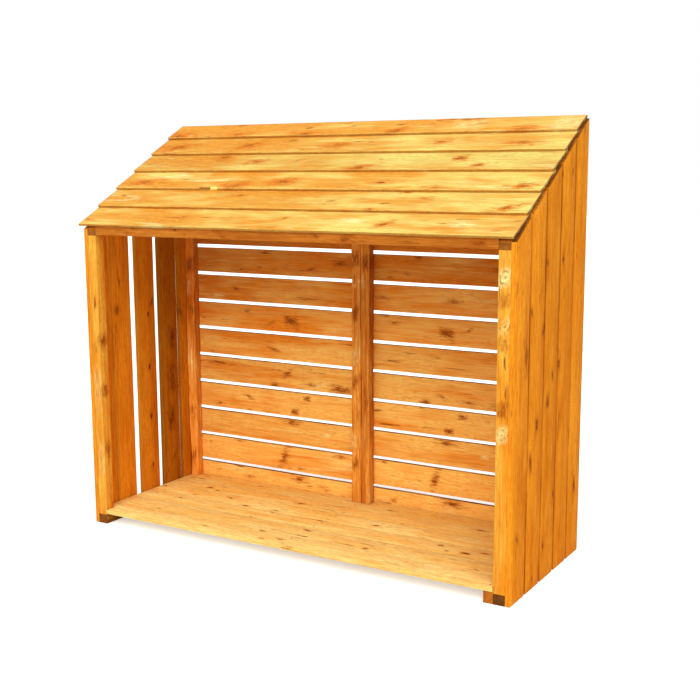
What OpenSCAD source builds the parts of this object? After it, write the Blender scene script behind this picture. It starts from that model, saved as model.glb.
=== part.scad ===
// Open-fronted log store in softwood: two boarded sides, a slatted back in two
// panels, a boarded floor on bearers and a lapped board roof that falls to the front.
// Millimetres, +Z up, front towards -Y. The origin is under the middle of the store.

/* [Overall] */
// Width over the outer faces of the two sides
store_w = 1800; // [1200:10:2400]
// Depth from the fronts of the posts to the outer face of the back
store_d = 650; // [520:10:900]
// Height of the sides at the front
front_h = 1185; // [900:5:1400]
// Height of the sides at the back
back_h = 1583; // [1450:1:1900]

/* [Frame timber] */
// Side of the square timber of posts and studs, and width of the rails
post_w = 42; // [32:1:60]
// Height of the bottom rails
rail_h = 37; // [30:1:60]
// Depth of the top rails and the rafter, square to the roof
rafter_h = 22; // [16:1:45]
// Height of the front rail at its front face
front_rail_h = 36; // [25:1:70]
// Width of a floor bearer
bearer_w = 35; // [25:1:60]
// Height of a floor bearer above the tops of the bottom rails
bearer_rise = 6; // [0:1:15]
// Distance of the left and middle bearers from the front
bearer_setback = 130; // [60:5:200]

/* [Sides] */
// Thickness of a side board
side_board_t = 18; // [12:1:25]
// Gaps between the five boards of the left side, front to back
left_gaps = [17, 42, 35, 20]; // [5:1:45]
// Gaps between the five boards of the right side, front to back
right_gaps = [13, 14, 14, 13]; // [5:1:45]

/* [Back] */
// Width of a back slat
slat_w = 104.5; // [70:0.5:130]
// Gap between back slats
slat_gap = 15; // [8:0.5:30]
// Thickness of a back slat
slat_t = 18; // [12:1:25]
// Height of the lowest slat above the ground
slat_base = 15; // [10:1:40]

/* [Floor] */
// Thickness of a floor board
floor_t = 16; // [10:1:25]
// Gap between floor boards
floor_gap = 1; // [0.5:0.5:6]
// How far the floor stands in front of the posts
floor_proud = 3; // [0:1:6]
// Clearance of the floor round posts, studs and walls
floor_clear = 2; // [1:0.5:5]

/* [Roof] */
// Thickness of a roof board
roof_t = 10; // [8:0.5:16]
// Lap of each roof board over the one below it
roof_lap = 20; // [12:1:40]
// Width of the top roof board, ripped to finish at the back
roof_top_w = 116; // [90:1:140]
// Overhang of the lowest roof board in front of the posts
roof_over_front = 7; // [2:1:30]
// Distance that the roof stops short of the outer face of the back
roof_back_in = 4; // [2:1:20]
// Overhang of the roof past the left side
roof_over_left = 20; // [0:1:40]
// Distance that the roof stops short of the right side's outer face
roof_right_in = 5; // [0:1:15]
// Clearance where a roof board seats
roof_seat = 0.2; // [0.1:0.1:0.5]

/* [Hidden] */
SIDE_BOARDS = 5;
FLOOR_BOARDS = 6;
ROOF_BOARDS = 6;

LEFT = -1;
RIGHT = 1;

// Stain colours, from the pale roof to the shaded frame inside
ROOF_COLOUR = "#EDBE62";
FRONT_COLOUR = "#F2A838";
SIDE_COLOUR = "#DD8A24";
BACK_COLOUR = "#B9702B";
FLOOR_COLOUR = "#DDA04A";
FRAME_COLOUR = "#A9652A";
FOOT_COLOUR = "#7A4A20";

function sum_to(list, count, i = 0) = i < count ? list[i] + sum_to(list, count, i + 1) : 0;

// Planes that pieces share
inner_x = store_w / 2 - side_board_t;
post_x = inner_x - post_w;
slat_y = store_d - slat_t;
stud_y = slat_y - post_w;
bearer_h = rail_h + bearer_rise;

// Line of the side tops and rafters, on which the roof lies
slope = (back_h - front_h) / store_d;
pitch = atan(slope);
function roof_line(y) = front_h + slope * y;

// Roof boards lie flatter than the rafters, so that each laps the one below face to face
roof_run = store_d - roof_back_in + roof_over_front;
roof_step = (roof_run / cos(pitch) - roof_top_w) / (ROOF_BOARDS - 1);
roof_board_w = roof_step + roof_lap;
board_angle = pitch - asin((roof_t + roof_seat) / roof_step);
function roof_tip_y(i) = -roof_over_front + roof_board_w * cos(board_angle)
    + i * roof_step * cos(pitch);
function roof_butt(i) = [
    roof_tip_y(i) - roof_board_w * cos(board_angle),
    roof_line(roof_tip_y(i)) + roof_seat / cos(pitch) - roof_board_w * sin(board_angle)
];
function first_underside(y) = roof_butt(0)[1] + (y - roof_butt(0)[0]) * tan(board_angle);

front_rail_base = first_underside(0) - roof_seat - front_rail_h;

// Height of the top rails and the rafter, measured upright
rafter_drop = rafter_h / cos(pitch);

// Side boards
function side_gaps(side) = side == LEFT ? left_gaps : right_gaps;
function side_board_w(side) = (store_d - sum_to(side_gaps(side), SIDE_BOARDS - 1)) / SIDE_BOARDS;
function side_board_y(side, i) = i * side_board_w(side) + sum_to(side_gaps(side), i);

// Back slats, as many as fit under the roof
slat_pitch = slat_w + slat_gap;
slat_count = floor((roof_line(slat_y) - slat_base + slat_gap) / slat_pitch);

// Floor boards
floor_front = -floor_proud;
floor_back = slat_y - floor_clear;
floor_board_w = (floor_back - floor_front - (FLOOR_BOARDS - 1) * floor_gap) / FLOOR_BOARDS;

// Middle of the outline, which goes over the origin
middle_x = -roof_over_left / 2;
middle_y = (store_d - roof_over_front - roof_t * sin(board_angle)) / 2;

// Moves a piece from the build corner, on the post fronts, to the part's frame
module placed() {
    translate([-middle_x, -middle_y, 0]) children();
}

// Outline in depth and height, extruded along the width from x
module across(x, width, outline) {
    translate([x, 0, 0])
        rotate([90, 0, 90])
            linear_extrude(width)
                polygon(outline);
}

// Timber from front y0 to y1 and up from base, its top cut to the roof's slope below the roof line
module cut_to_roof(x, width, y0, y1, base, drop = 0) {
    across(x, width, [
        [y0, base],
        [y1, base],
        [y1, roof_line(y1) - drop],
        [y0, roof_line(y0) - drop]
    ]);
}

// Low x of a piece of this width that lies against the inner face of one side
function against_side(side, width) = side == LEFT ? -inner_x : inner_x - width;

// Post from y to a bottom rail below it and a top rail above it
module corner_post(side, y, colour) {
    color(colour)
        placed()
            cut_to_roof(against_side(side, post_w), post_w, y, y + post_w, rail_h, rafter_drop);
}

module front_post(side) {
    corner_post(side, 0, FRONT_COLOUR);
}

module back_post(side) {
    corner_post(side, stud_y, FRAME_COLOUR);
}

// Two studs meet at the middle, one for each back panel
module middle_stud(side) {
    color(FRAME_COLOUR)
        placed()
            cut_to_roof(side == LEFT ? -post_w : 0, post_w, stud_y, slat_y, 0);
}

module bottom_rail(side) {
    color(FOOT_COLOUR)
        placed()
            translate([against_side(side, post_w), 0, 0])
                cube([post_w, slat_y, rail_h]);
}

// Sloping timber under the roof from y0 to y1, its ends cut upright
module rafter(x, y0, y1) {
    color(FRAME_COLOUR)
        placed()
            across(x, post_w, [
                [y0, roof_line(y0) - rafter_drop],
                [y1, roof_line(y1) - rafter_drop],
                [y1, roof_line(y1)],
                [y0, roof_line(y0)]
            ]);
}

// Lies over the posts of one side, with its end showing at the front
module top_rail(side) {
    rafter(against_side(side, post_w), 0, slat_y);
}

// Runs from the front rail to the middle studs
module middle_rafter() {
    rafter(-post_w / 2, post_w, stud_y);
}

// Butts between the top rails, with its top planed to carry the lowest roof board
module front_rail() {
    color(FRAME_COLOUR)
        placed()
            across(-post_x, 2 * post_x, [
                [0, front_rail_base],
                [post_w, front_rail_base],
                [post_w, first_underside(post_w) - roof_seat],
                [0, first_underside(0) - roof_seat]
            ]);
}

module bearer(x, setback, back) {
    color(FOOT_COLOUR)
        placed()
            translate([x, setback, 0])
                cube([bearer_w, back - setback, bearer_h]);
}

// Board i of one side, counted from the front
module side_board(side, i) {
    x = side == LEFT ? -store_w / 2 : inner_x;
    y = side_board_y(side, i);
    color(SIDE_COLOUR)
        placed()
            cut_to_roof(x, side_board_t, y, y + side_board_w(side), 0);
}

// Slats of one back panel, nailed to the backs of a post and a stud
module back_slats(side) {
    color(BACK_COLOUR)
        placed()
            for (i = [0 : slat_count - 1])
                translate([side == LEFT ? -inner_x : 0, slat_y, slat_base + i * slat_pitch])
                    cube([inner_x, slat_t, slat_w]);
}

// Ground plan of the posts and studs that the floor is notched round
module post_plan() {
    for (side = [LEFT, RIGHT])
        for (y = [0, stud_y])
            translate([against_side(side, post_w), y])
                square(post_w);
    translate([-post_w, stud_y])
        square([2 * post_w, post_w]);
}

// Post plan with the floor's clearance on every side, in straight cuts
module notch_plan() {
    for (dx = [-floor_clear, floor_clear])
        for (dy = [-floor_clear, floor_clear])
            translate([dx, dy])
                post_plan();
    for (side = [LEFT, RIGHT])
        translate([against_side(side, post_w), floor_front - floor_clear])
            square([post_w, post_w]);
}

// Floor board i, counted from the front
module floor_board(i) {
    length = 2 * (inner_x - floor_clear);
    color(FLOOR_COLOUR)
        placed()
            translate([0, 0, bearer_h])
                linear_extrude(floor_t)
                    difference() {
                        translate([-length / 2, floor_front + i * (floor_board_w + floor_gap)])
                            square([length, floor_board_w]);
                        notch_plan();
                    }
}

// Roof board i, counted from the eaves
module roof_board(i) {
    width = i < ROOF_BOARDS - 1 ? roof_board_w : roof_top_w;
    length = store_w + roof_over_left - roof_right_in;
    color(ROOF_COLOUR)
        placed()
            translate([-store_w / 2 - roof_over_left, roof_butt(i)[0], roof_butt(i)[1]])
                rotate([board_angle, 0, 0])
                    cube([length, width, roof_t]);
}

front_post(LEFT);  // left_front_post
front_post(RIGHT);  // right_front_post
back_post(LEFT);  // left_back_post
back_post(RIGHT);  // right_back_post
middle_stud(LEFT);  // left_middle_stud
middle_stud(RIGHT);  // right_middle_stud
bottom_rail(LEFT);  // left_bottom_rail
bottom_rail(RIGHT);  // right_bottom_rail
top_rail(LEFT);  // left_top_rail
top_rail(RIGHT);  // right_top_rail
front_rail();
middle_rafter();
bearer(-post_x, bearer_setback, slat_y);  // left_bearer
bearer(-bearer_w / 2, bearer_setback, stud_y);  // middle_bearer
bearer(post_x - bearer_w, 0, slat_y);  // right_bearer
for (i = [0 : SIDE_BOARDS - 1])
    side_board(LEFT, i);
for (i = [0 : SIDE_BOARDS - 1])
    side_board(RIGHT, i);
back_slats(LEFT);  // left_back_slats
back_slats(RIGHT);  // right_back_slats
for (i = [0 : FLOOR_BOARDS - 1])
    floor_board(i);
for (i = [0 : ROOF_BOARDS - 1])
    roof_board(i);
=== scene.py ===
"""Golden dipped log store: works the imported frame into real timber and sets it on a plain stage."""

import math
import random
from collections import namedtuple
from functools import partialmethod

import bmesh
import bpy
from mathutils import Matrix, Vector, noise


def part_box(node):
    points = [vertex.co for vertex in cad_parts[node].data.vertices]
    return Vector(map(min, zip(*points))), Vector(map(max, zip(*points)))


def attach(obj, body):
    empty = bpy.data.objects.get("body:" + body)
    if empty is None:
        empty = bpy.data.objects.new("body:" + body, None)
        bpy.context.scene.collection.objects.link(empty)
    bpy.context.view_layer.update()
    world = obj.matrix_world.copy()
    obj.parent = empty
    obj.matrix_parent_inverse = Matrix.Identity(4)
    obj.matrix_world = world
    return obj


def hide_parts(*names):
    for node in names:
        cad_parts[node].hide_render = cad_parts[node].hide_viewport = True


bl_info = {
    "name": "Log Store",
    "version": (1, 0, 0),
    "blender": (4, 5, 0),
    "location": "3D View > Sidebar > Log Store",
    "description": "Works a log store's frame into golden dipped softwood and lights it on a stage",
    "category": "Object",
}

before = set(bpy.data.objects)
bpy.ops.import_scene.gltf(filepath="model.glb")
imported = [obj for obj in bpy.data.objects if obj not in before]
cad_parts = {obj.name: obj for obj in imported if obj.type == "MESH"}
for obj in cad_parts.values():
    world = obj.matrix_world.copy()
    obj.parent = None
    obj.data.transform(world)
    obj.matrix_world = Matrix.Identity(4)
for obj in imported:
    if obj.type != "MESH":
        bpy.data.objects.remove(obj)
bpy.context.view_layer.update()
BODY = "root"

# Points closer than this are one point, faces that turn less are one face, edges that turn more are crisp
WELD = 1e-5
FLAT_TURN = 0.01
CRISP_TURN = math.radians(28)
# About how far apart the cuts across a board's faces are, and how near a point counts as on a cut
CUT_STEP = 0.05
CUT_SNAP = 1e-6

ALONG_X = Vector((1, 0, 0))
ALONG_Y = Vector((0, 1, 0))
ALONG_Z = Vector((0, 0, 1))
BEARERS = ("left_bearer", "middle_bearer", "right_bearer")


# Settings that a user would change

def length(name, text, default):
    """A size in metres."""
    return bpy.props.FloatProperty(
        name=name, description=text, default=default, min=0.0, precision=4,
        subtype="DISTANCE", unit="LENGTH")


def colour(name, text, default):
    """A colour of the dipped wood or the metal."""
    return bpy.props.FloatVectorProperty(
        name=name, description=text, default=default, min=0.0, max=1.0, size=3, subtype="COLOR")


def turn(name, text, degrees):
    """An angle, given in degrees."""
    return bpy.props.FloatProperty(
        name=name, description=text, default=math.radians(degrees), subtype="ANGLE", unit="ROTATION")


def amount(name, text, default):
    """A plain number without a unit."""
    return bpy.props.FloatProperty(name=name, description=text, default=default, min=0.0)


class LOGSTORE_PG_timber(bpy.types.PropertyGroup):
    """How the timber is sawn, planed and worn."""

    arris: length("Arris", "Width of the rounded edges of planed boards", 0.0014)
    rough_arris: length("Rough arris", "Width of the rounded edges of rough posts", 0.003)
    butt_arris: length("Butt arris", "Width of the worn edges of the roof boards", 0.0026)
    bow: length("Bow", "How far a board bows out of its plane", 0.0012)
    wander: length("Edge wander", "How far a sawn edge strays from straight", 0.0009)
    butt_wander: length("Butt wander", "How ragged the lower edges of the roof boards are", 0.0016)
    end_wander: length("End wander", "How unevenly the roof boards end", 0.0015)
    torn: length("Torn grain", "Depth of the torn grain on rough posts", 0.0028)
    wane: length("Wane", "Width of the bark edge left on rough posts", 0.018)
    chip: length("Chip", "Depth of the chip in the roof's third board", 0.009)
    nail_head: length("Nail head", "Diameter of a nail's head", 0.006)


class LOGSTORE_PG_stain(bpy.types.PropertyGroup):
    """Colours of the dip on each kind of timber, pale early wood and deep late wood."""

    roof_pale: colour("Roof pale", "Early wood of the roof boards", (0.88, 0.69, 0.175))
    roof_deep: colour("Roof deep", "Late wood of the roof boards", (0.78, 0.32, 0.034))
    side_pale: colour("Side pale", "Early wood of the side boards", (0.92, 0.325, 0.018))
    side_deep: colour("Side deep", "Late wood of the side boards", (0.71, 0.195, 0.006))
    post_pale: colour("Post pale", "Early wood of the front posts", (0.90, 0.44, 0.050))
    post_deep: colour("Post deep", "Late wood of the front posts", (0.80, 0.25, 0.010))
    frame_pale: colour("Frame pale", "Early wood of the rough studs and back posts", (0.87, 0.35, 0.050))
    frame_deep: colour("Frame deep", "Late wood of the rough studs and back posts", (0.60, 0.150, 0.007))
    # The rail colours are darker than the rest of the wood: painted shade under the roof and under the floor
    rail_pale: colour("Rail pale", "Early wood of the rails under the roof", (0.62, 0.20, 0.022))
    rail_deep: colour("Rail deep", "Late wood of the rails under the roof", (0.42, 0.105, 0.008))
    slat_pale: colour("Slat pale", "Early wood of the back slats", (0.99, 0.52, 0.108))
    slat_deep: colour("Slat deep", "Late wood of the back slats", (0.86, 0.262, 0.020))
    floor_pale: colour("Floor pale", "Early wood of the floor boards", (0.97, 0.74, 0.250))
    floor_deep: colour("Floor deep", "Late wood of the floor boards", (0.92, 0.50, 0.100))
    foot_pale: colour("Foot pale", "Early wood of the bottom rails", (0.46, 0.17, 0.020))
    foot_deep: colour("Foot deep", "Late wood of the bottom rails", (0.20, 0.06, 0.006))
    sap: colour("Sap wood", "Pale streaks of sap wood", (0.95, 0.78, 0.300))
    golden_flame: colour("Golden flame", "Deep wood about the roof's knots", (0.70, 0.195, 0.010))
    orange_flame: colour("Orange flame", "Deep wood about the other knots", (0.46, 0.115, 0.008))
    knot: colour("Knot", "Heart of a knot", (0.14, 0.036, 0.006))
    # End grain also serves as the colour of painted shade on edges and sides
    end_grain_and_shade: colour("End grain", "Sawn ends, which take up more of the dip", (0.19, 0.060, 0.009))
    nail: colour("Nail", "Dulled zinc coat of the nails", (0.36, 0.24, 0.12))


class LOGSTORE_PG_stage(bpy.types.PropertyGroup):
    """The floor, the light and the camera."""

    world_light: amount("Soft light", "Strength of the even light all round", 0.5)
    key_light: amount("Key light", "Strength of the broad lamp in front", 2.25)
    key_height: turn("Key height", "Height of the broad lamp over the floor", 47)
    key_side: turn("Key side", "How far the broad lamp stands to the right of the front", 24)
    key_spread: turn("Key spread", "How wide the broad lamp is, seen from the store", 50)
    floor_size: length("Floor size", "Width of the floor", 60.0)
    floor_white: colour("Floor", "Colour of the floor", (0.90, 0.90, 0.90))
    floor_glow: amount("Floor glow", "How far the floor looks white by itself", 0.5)
    camera_at: bpy.props.FloatVectorProperty(
        name="Camera", description="Place of the camera", default=(2.2063, -3.5218, 1.4121),
        size=3, subtype="TRANSLATION", unit="LENGTH")
    camera_yaw: turn("Yaw", "Turn of the camera to the left", 30.61)
    camera_pitch: turn("Pitch", "Tilt of the camera down", 9.31)
    camera_roll: turn("Roll", "Lean of the camera", -0.25)
    camera_lens: bpy.props.FloatProperty(
        name="Lens", description="Focal length on a 36 mm sensor", default=56.99, min=1.0,
        subtype="DISTANCE_CAMERA")


def timber():
    """Settings of the timber."""
    return bpy.context.scene.log_store_timber


def stain():
    """Settings of the dip."""
    return bpy.context.scene.log_store_stain


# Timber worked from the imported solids

def whole_solids(node):
    """The solids of a node, each with whole flat faces, from the lowest up."""
    bm = bmesh.new()
    bm.from_mesh(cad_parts[node].data)
    bmesh.ops.remove_doubles(bm, verts=bm.verts, dist=WELD)
    bmesh.ops.dissolve_limit(bm, angle_limit=FLAT_TURN, verts=bm.verts, edges=bm.edges)
    solids = []
    seen = set()
    for start in bm.faces:
        if start in seen:
            continue
        island = [start]
        seen.add(start)
        for face in island:
            for other in [other for edge in face.edges for other in edge.link_faces]:
                if other not in seen:
                    seen.add(other)
                    island.append(other)
        solids.append(copy_faces(island))
    bm.free()
    return sorted(solids, key=solid_middle)


def copy_faces(faces):
    """The same faces in a mesh of their own."""
    copy = bmesh.new()
    twins = {}
    for face in faces:
        for vert in face.verts:
            if vert not in twins:
                twins[vert] = copy.verts.new(vert.co)
        copy.faces.new([twins[vert] for vert in face.verts])
    copy.normal_update()
    return copy


def solid_middle(solid):
    """Middle of a solid's corners, height first."""
    points = [vert.co for vert in solid.verts]
    return [sum(p[axis] for p in points) / len(points) for axis in (2, 1, 0)]


def up_the_slope(node):
    """Direction up a sloping board or rail, in its upper face."""
    top = max(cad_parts[node].data.polygons, key=lambda face: face.normal.z * face.area)
    return Vector(top.normal).cross(ALONG_X).normalized()


# Place along and across a stick, radius, darkness, flame, lean, and depth if it doesn't go right through
Knot = namedtuple("Knot", "at side radius dark flame lean through", defaults=(0.7, 0.6, 0.0, None))


class Stick:
    """A length of timber on the bench: its mesh, the axes of its grain and its size along them."""

    # How squarely a face looks along a direction to be flat with it, a side, an end or an end's edge
    flat, side_on, end_on, edge_on = 0.999, 0.65, 0.75, 0.3
    # Tries for each knot that is set at random, and its distance from the others in radii
    tries, clear = 6, 5
    # How much the tone and the warmth of boards differ by chance
    tone_spread, warmth_spread = 0.06, 0.12
    # Swings of the bow and of the edges along a metre
    bow_rate, edge_rate = 1.4, 5.0

    def __init__(self, solid, along, across, name):
        self.mesh = solid
        self.random = random.Random(name)
        self.axes = Matrix((along, across, along.cross(across)))
        corners = [self.axes @ vert.co for vert in solid.verts]
        self.low = Vector([min(c[i] for c in corners) for i in range(3)])
        self.high = Vector([max(c[i] for c in corners) for i in range(3)])
        self.half = (self.high - self.low) / 2
        self.middle = (self.high + self.low) / 2
        self.knots = []

    def place(self, point):
        """A point as a place along the stick, and across and through it from its middle."""
        p = self.axes @ point
        return Vector((p.x, p.y - self.middle.y, p.z - self.middle.z))

    def ease(self, width):
        """Round every arris."""
        flat = [face.normal.copy() for face in self.mesh.faces]
        bmesh.ops.bevel(
            self.mesh, geom=list(self.mesh.edges), offset=width, offset_type="OFFSET",
            segments=2, profile=0.5, affect="EDGES", clamp_overlap=True)
        bmesh.ops.remove_doubles(self.mesh, verts=self.mesh.verts, dist=WELD)
        self.mesh.normal_update()
        layer = self.mesh.faces.layers.float.new("arris")
        for face in self.mesh.faces:
            face[layer] = float(all(face.normal.dot(normal) < self.flat for normal in flat))

    def rough_out(self, arris, *steps):
        """Round every arris, then cut the faces at even places, about a step apart along each axis."""
        self.ease(arris)
        for axis, step in enumerate(steps):
            count = max(1, round(2 * self.half[axis] / step))
            start = self.low[axis] if axis == 0 else -self.half[axis]
            self.saw(axis, [start + 2 * self.half[axis] * i / count for i in range(1, count)])

    def saw(self, axis, places):
        """Cut the faces at places along one of the stick's axes."""
        normal = Vector(self.axes[axis])
        middle = 0.0 if axis == 0 else self.middle[axis]
        for at in places:
            geometry = self.mesh.verts[:] + self.mesh.edges[:] + self.mesh.faces[:]
            bmesh.ops.bisect_plane(
                self.mesh, geom=geometry, dist=CUT_SNAP, plane_co=normal * (at + middle), plane_no=normal)

    def own(self, table, shift=0.0):
        """The knots of a table, placed along and across the store, that lie on this stick."""
        found = []
        for along, across, radius, *look in table:
            at, side = along + shift, across - self.middle.y
            if self.low.x < at < self.high.x and abs(side) < self.half.y + radius / 2:
                found.append(Knot(at, side, radius, *look))
        return found

    def add_knots(self, chosen, count, radius, dark=0.7, square=False):
        """Set the chosen knots, then more at random up to a count, each clear of the others."""
        self.knots = list(chosen)
        draw = self.random.uniform
        for _ in range(count * self.tries):
            if len(self.knots) >= len(chosen) + count:
                break
            size = radius * draw(0.5, 1.3)
            at = draw(self.low.x, self.high.x)
            side = draw(-0.85, 0.85) * self.half.y
            look = [draw(0.3, 1.0) * dark, draw(0.2, 0.9), draw(-0.5, 0.5)]
            if square:
                round_at = draw(0, 2 * math.pi)
                side = math.cos(round_at) * self.half.y
                look.append(math.sin(round_at) * self.half.z)
            if all(abs(at - knot.at) > self.clear * (size + knot.radius) for knot in self.knots):
                self.knots.append(Knot(at, side, size, *look))
        self.knots.sort(key=lambda knot: knot.at)
        self.saw(0, [(a.at + b.at) / 2 for a, b in zip(self.knots, self.knots[1:])])

    def room(self, knot):
        """How far a knot's figure may reach before the next knot's begins."""
        return min([abs(knot.at - other.at) / 2 for other in self.knots if other is not knot], default=1.0)

    def mark(self, tone=0.0, warmth=0.0, sawn=1.0):
        """Note on the mesh where the grain runs, where the knots are and which faces are sawn ends."""
        mesh = self.mesh
        grain = mesh.verts.layers.float_vector.new("grain")
        knot, knot_look, knot_room, board = [
            mesh.faces.layers.float_vector.new(name) for name in ("knot", "knot_look", "knot_room", "board")]
        end = mesh.faces.layers.float.new("end")
        draw = Vector((
            self.random.uniform(0, 60),
            1 + tone + self.random.uniform(-self.tone_spread, self.tone_spread),
            warmth + self.random.uniform(-self.warmth_spread, self.warmth_spread)))
        for vert in mesh.verts:
            vert[grain] = self.place(vert.co)
        mesh.normal_update()
        along = Vector(self.axes[0])
        for face in mesh.faces:
            at = self.place(face.calc_center_median()).x
            if self.knots:
                near = min(self.knots, key=lambda k: abs(k.at - at))
                face[knot] = near.at, near.side, near.radius
                face[knot_look] = near.dark, near.flame, near.lean
                face[knot_room] = self.room(near), near.through or 0.0, float(near.through is not None)
            face[board] = draw
            facing = abs(face.normal.dot(along))
            face[end] = sawn if facing > self.end_on else sawn / 2 if facing > self.edge_on else 0.0

    def paint_shade(self, direction, share):
        """Paint shade on the faces that look along a direction, in the colour of sawn ends."""
        end = self.mesh.faces.layers.float["end"]
        for face in self.looking(direction):
            face[end] = share

    def deepen_and_shade(self, direction, tone):
        """Give the faces that look along a direction the deepest dip and a darker tone, which is painted
        shade.
        """
        board = self.mesh.faces.layers.float_vector["board"]
        for face in self.looking(direction):
            face[board] = face[board].x, tone, 1.0

    def looking(self, direction):
        """The faces that look along a direction."""
        return [face for face in self.mesh.faces if face.normal.dot(direction) > self.side_on]

    def move(self, shift):
        """Move every point by a shift along the stick's axes, given its place."""
        back = self.axes.transposed()
        for vert in self.mesh.verts:
            vert.co += back @ Vector(shift(self.place(vert.co)))

    def weather(self, bow, wander):
        """Let the stick bow a little between its ends and its edges stray from straight."""
        seed = self.random.uniform(0, 100)
        span = 2 * self.half.x

        def shift(p):
            share = (p.x - self.low.x) / span
            edge = p.y / self.half.y
            lift = bow * math.sin(math.pi * share) * noise.noise((p.x * self.bow_rate, seed, 3.1))
            stray = noise.noise((p.x * self.edge_rate, seed + 9 * (edge > 0), 7.7))
            return 0.0, wander * abs(edge) ** 3 * stray, lift

        self.move(shift)


def make_piece(node, sticks, material):
    """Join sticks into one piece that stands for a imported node."""
    whole = bmesh.new()
    for stick in sticks:
        part = bpy.data.meshes.new("part")
        stick.mesh.to_mesh(part)
        stick.mesh.free()
        whole.from_mesh(part)
        bpy.data.meshes.remove(part)
    whole.normal_update()
    piece = mesh_piece(f"{node}_timber", whole, material)
    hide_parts(node)


def mesh_piece(name, bm, material):
    """A new object on the store's one body."""
    mesh = bpy.data.meshes.new(name)
    bm.to_mesh(mesh)
    bm.free()
    mesh.polygons.foreach_set("use_smooth", [True] * len(mesh.polygons))
    mesh.set_sharp_from_angle(angle=CRISP_TURN)
    mesh.materials.append(material)
    piece = bpy.data.objects.new(name, mesh)
    bpy.context.scene.collection.objects.link(piece)
    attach(piece, BODY)
    return piece


def sticks_of(node, along, across):
    """The node's solids laid on the bench."""
    return [
        Stick(solid, along, across, f"{node} {index}")
        for index, solid in enumerate(whole_solids(node))
    ]


# Shader nodes

class Wire:
    """What comes out of a node, to be reckoned with like a number or a vector."""

    def __init__(self, nodes, socket):
        self.nodes = nodes
        self.socket = socket

    def reckon(self, operation, *others):
        """A new value or vector, worked out from this one."""
        kind = "ShaderNodeVectorMath" if self.socket.type == "VECTOR" else "ShaderNodeMath"
        return self.nodes.out(self.nodes.add(kind, dict(enumerate((self, *others))), operation=operation))

    __add__ = partialmethod(reckon, "ADD")
    __sub__ = partialmethod(reckon, "SUBTRACT")
    __mul__ = partialmethod(reckon, "MULTIPLY")
    __truediv__ = partialmethod(reckon, "DIVIDE")
    __pow__ = partialmethod(reckon, "POWER")
    __abs__ = partialmethod(reckon, "ABSOLUTE")
    at_least = partialmethod(reckon, "MAXIMUM")


class Nodes:
    """Short calls that add nodes to one tree."""

    def __init__(self, tree):
        self.tree = tree

    def add(self, kind, inputs=None, **settings):
        """Add a node, with its settings and what its inputs take."""
        node = self.tree.nodes.new(kind)
        for name, value in settings.items():
            setattr(node, name, value)
        self.fill(node, inputs or {})
        return node

    def fill(self, node, inputs):
        """Link a node's inputs to wires, or set their own values."""
        for key, value in inputs.items():
            socket = node.inputs[key]
            if isinstance(value, Wire):
                self.tree.links.new(value.socket, socket)
            elif socket.type == "RGBA":
                socket.default_value = (*value, 1.0)
            else:
                socket.default_value = value

    def out(self, node, key=0):
        """One wire out of a node."""
        return Wire(self, node.outputs[key])

    def wires(self, node):
        """Every wire out of a node, by its name."""
        return {socket.name: Wire(self, socket) for socket in node.outputs}

    def split(self, vector):
        """The three parts of a vector."""
        return self.wires(self.add("ShaderNodeSeparateXYZ", {0: vector})).values()

    def join(self, x, y, z):
        """A vector of three parts."""
        return self.out(self.add("ShaderNodeCombineXYZ", {0: x, 1: y, 2: z}))

    def noise(self, vector, detail=2.0, roughness=0.5):
        """Noise from 0 to 1, with its scale already in the vector."""
        inputs = {"Vector": vector, "Scale": 1.0, "Detail": detail, "Roughness": roughness}
        return self.out(self.add("ShaderNodeTexNoise", inputs))

    def smooth(self, value, low, high):
        """A soft step from 0 at low to 1 at high."""
        inputs = {"Value": value, "From Min": low, "From Max": high}
        return self.out(self.add("ShaderNodeMapRange", inputs, interpolation_type="SMOOTHSTEP"))

    def mix(self, share, first, second, blend="MIX"):
        """A mix of two colours, by a share that is kept between 0 and 1."""
        settings = {"data_type": "RGBA", "blend_type": blend, "clamp_factor": True}
        return self.out(self.add("ShaderNodeMix", {0: share, 6: first, 7: second}, **settings), 2)

    def effect(self, name, build, inputs):
        """Place a shared node group, which is built the first time that it is asked for."""
        tree = bpy.data.node_groups.get(name) or new_group(name, build, inputs)
        return self.wires(self.add("ShaderNodeGroup", inputs, node_tree=tree))


KNOT_MARKS = ("Grain", "Knot", "Knot Look", "Knot Room")


def socket_kind(label):
    """What a group's socket carries, going by its label."""
    if label in KNOT_MARKS:
        return "NodeSocketVector"
    return "NodeSocketColor" if label.endswith("Colour") else "NodeSocketFloat"


def new_group(name, build, inputs):
    """A node group that takes the named inputs and puts out what a function builds from them."""
    tree = bpy.data.node_groups.new(name, "ShaderNodeTree")
    for label in inputs:
        tree.interface.new_socket(label, in_out="INPUT", socket_type=socket_kind(label))
    nodes = Nodes(tree)
    found = build(nodes, nodes.wires(nodes.add("NodeGroupInput")))
    for label in found:
        tree.interface.new_socket(label, in_out="OUTPUT", socket_type=socket_kind(label))
    nodes.add("NodeGroupOutput", found)
    return tree


def timber_marks(nodes, _):
    """What is noted on the mesh: grain, knots, the board's own draw, ends with the painted shade that shares
    their mark, and arrises.
    """

    def read(name, output="Vector"):
        return nodes.out(nodes.add("ShaderNodeAttribute", attribute_name=name), output)

    seed, tone, warmth = nodes.split(read("board"))
    return {
        "Grain": read("grain"), "Knot": read("knot"), "Knot Look": read("knot_look"),
        "Knot Room": read("knot_room"), "Seed": seed, "Tone": tone, "Warmth": warmth,
        "End": read("end", "Fac"), "Arris": read("arris", "Fac")}


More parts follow.
